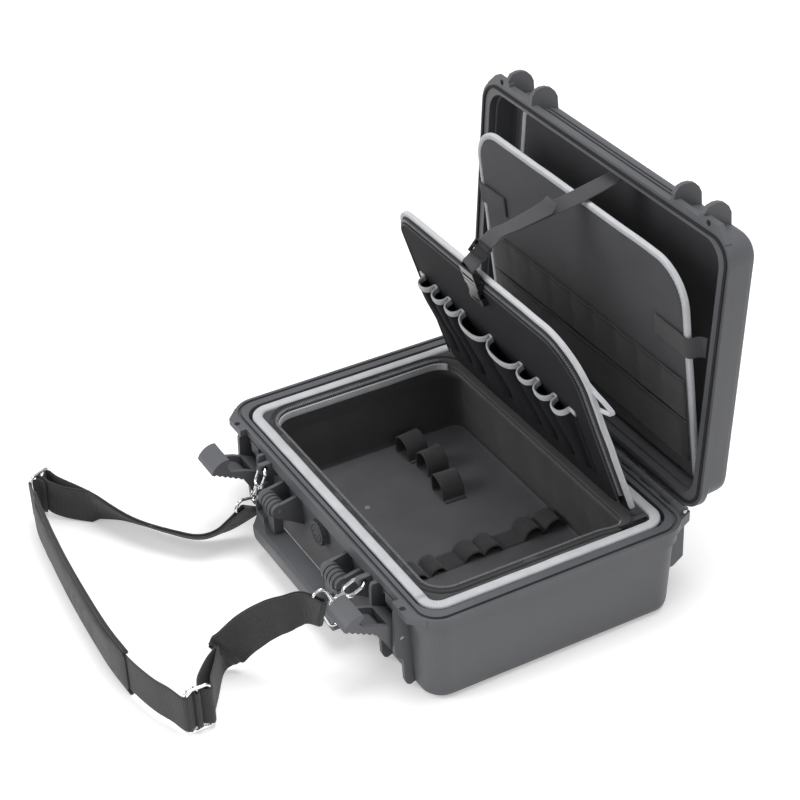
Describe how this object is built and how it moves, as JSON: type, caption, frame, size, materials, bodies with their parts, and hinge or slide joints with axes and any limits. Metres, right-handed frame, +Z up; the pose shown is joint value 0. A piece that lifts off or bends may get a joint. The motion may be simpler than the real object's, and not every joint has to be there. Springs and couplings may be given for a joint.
{
  "type": "hard tool case",
  "caption": "Waterproof moulded tool case, open, with two latches, a fold-down handle, a zipped fabric tool bag, a pocket board in the lid and a padded shoulder strap.",
  "frame": {"origin": "on the floor, under the middle of the base's rim", "axes": "+Z up, +Y from the latches to the hinge, +X along the hinge; stored with the lid open"},
  "size_m": [0.4799, 0.5688, 0.4046],
  "materials": {
    "case_plastic": "fine moulded grain, satin",
    "trim_plastic": "smooth satin moulding",
    "steel_pin": "plain steel wire",
    "bag_fabric": "woven nylon over stiff board",
    "black_webbing": "ribbed woven webbing",
    "grey_binding": "light grey grosgrain binding",
    "seal_rubber": "soft foam cord",
    "zip_tape": "zip tape with moulded teeth",
    "black_hardware": "black nylon moulding",
    "chrome_hardware": "bright nickel plate"
  },
  "bodies": {
    "case_base": {"base_shell": "case_plastic", "hinge_pin": "steel_pin", "pressure_valve": "trim_plastic", "latch_pin_left": "steel_pin", "latch_pin_right": "steel_pin", "latch_keeper_left": "trim_plastic", "latch_keeper_right": "trim_plastic", "handle_pin_left": "steel_pin", "handle_pin_right": "steel_pin", "bag_tub": "bag_fabric", "bag_border": "bag_fabric", "bag_binding": "grey_binding", "bag_opening_piping": "grey_binding", "bag_zip_track": "zip_tape", "bag_gusset": "bag_fabric", "bag_floor_loops": "black_webbing", "bag_wall_loops": "black_webbing", "floor_clip": "chrome_hardware", "zip_slider": "black_hardware", "snap_hook_left": "chrome_hardware", "snap_hook_right": "chrome_hardware", "dee_ring_left": "chrome_hardware", "dee_ring_right": "chrome_hardware", "strap_web_left": "black_webbing", "strap_web_right": "black_webbing", "strap_web_pad": "black_webbing", "strap_pad": "bag_fabric", "strap_slider_left": "chrome_hardware", "strap_slider_right": "chrome_hardware"},
    "lid": {"lid_shell": "case_plastic", "lid_gasket": "seal_rubber", "lid_back_panel": "bag_fabric", "lid_back_piping": "grey_binding", "tether_webbing": "black_webbing", "tether_slide": "black_hardware", "tether_buckle": "black_hardware"},
    "pocket_board": {"pocket_board": "bag_fabric", "board_piping": "grey_binding", "board_pockets": "bag_fabric", "board_strap_left": "black_webbing", "board_strap_right": "black_webbing"},
    "bag_flap": {"bag_flap": "bag_fabric", "flap_piping": "grey_binding", "flap_zip_track": "zip_tape", "flap_pockets": "bag_fabric", "pocket_edging": "grey_binding", "flap_side_loops": "grey_binding", "tether_socket": "black_hardware"},
    "handle": {"handle_grip": "trim_plastic"},
    "latch_left": {"latch_lever_left": "trim_plastic"},
    "latch_right": {"latch_lever_right": "trim_plastic"},
    "zip_tab": {"zip_pull": "black_hardware"},
    "gate_left": {"hook_gate_left": "chrome_hardware"},
    "gate_right": {"hook_gate_right": "chrome_hardware"}
  },
  "joints": [
    {"name": "lid_hinge", "type": "hinge", "parent": "case_base", "child": "lid", "pos_m": [0, 0.1475, 0.1], "axis": [1, 0, 0], "range_deg": [0, 94], "deforming": ["tether_webbing", "tether_slide", "tether_buckle"]},
    {"name": "board_hinge", "type": "hinge", "parent": "lid", "child": "pocket_board", "pos_m": [0, 0.16613, 0.12276], "axis": [1, 0, 0], "range_deg": [-10.5, 0]},
    {"name": "flap_hinge", "type": "hinge", "parent": "case_base", "child": "bag_flap", "pos_m": [0, 0.102, 0.098], "axis": [1, 0, 0], "range_deg": [0, 72]},
    {"name": "handle_hinge", "type": "hinge", "parent": "case_base", "child": "handle", "pos_m": [0, -0.1595, 0.072], "axis": [-1, 0, 0], "range_deg": [0, 90]},
    {"name": "latch_left_hinge", "type": "hinge", "parent": "case_base", "child": "latch_left", "pos_m": [-0.139, -0.143, 0.06], "axis": [-1, 0, 0], "range_deg": [0, 50]},
    {"name": "latch_right_hinge", "type": "hinge", "parent": "case_base", "child": "latch_right", "pos_m": [0.139, -0.143, 0.06], "axis": [-1, 0, 0], "range_deg": [0, 50]},
    {"name": "zip_tab_hinge", "type": "hinge", "parent": "case_base", "child": "zip_tab", "pos_m": [0.1747, 0.089, 0.0999], "axis": [1, 0, 0], "range_deg": [0, 25]},
    {"name": "gate_left_hinge", "type": "hinge", "parent": "case_base", "child": "gate_left", "pos_m": [-0.096, -0.15452, 0.07558], "axis": [0, -0.9272, 0.3746], "range_deg": [0, 12], "stiffness_Nm_per_rad": 0.02},
    {"name": "gate_right_hinge", "type": "hinge", "parent": "case_base", "child": "gate_right", "pos_m": [0.11, -0.16184, 0.08276], "axis": [0, -0.3907, 0.9205], "range_deg": [0, 12], "stiffness_Nm_per_rad": 0.02}
  ],
  "couplings": [
    {"joint": "flap_hinge", "follows": "lid_hinge", "ratio": 0.76596},
    {"joint": "board_hinge", "follows": "lid_hinge", "ratio": -0.1117}
  ]
}
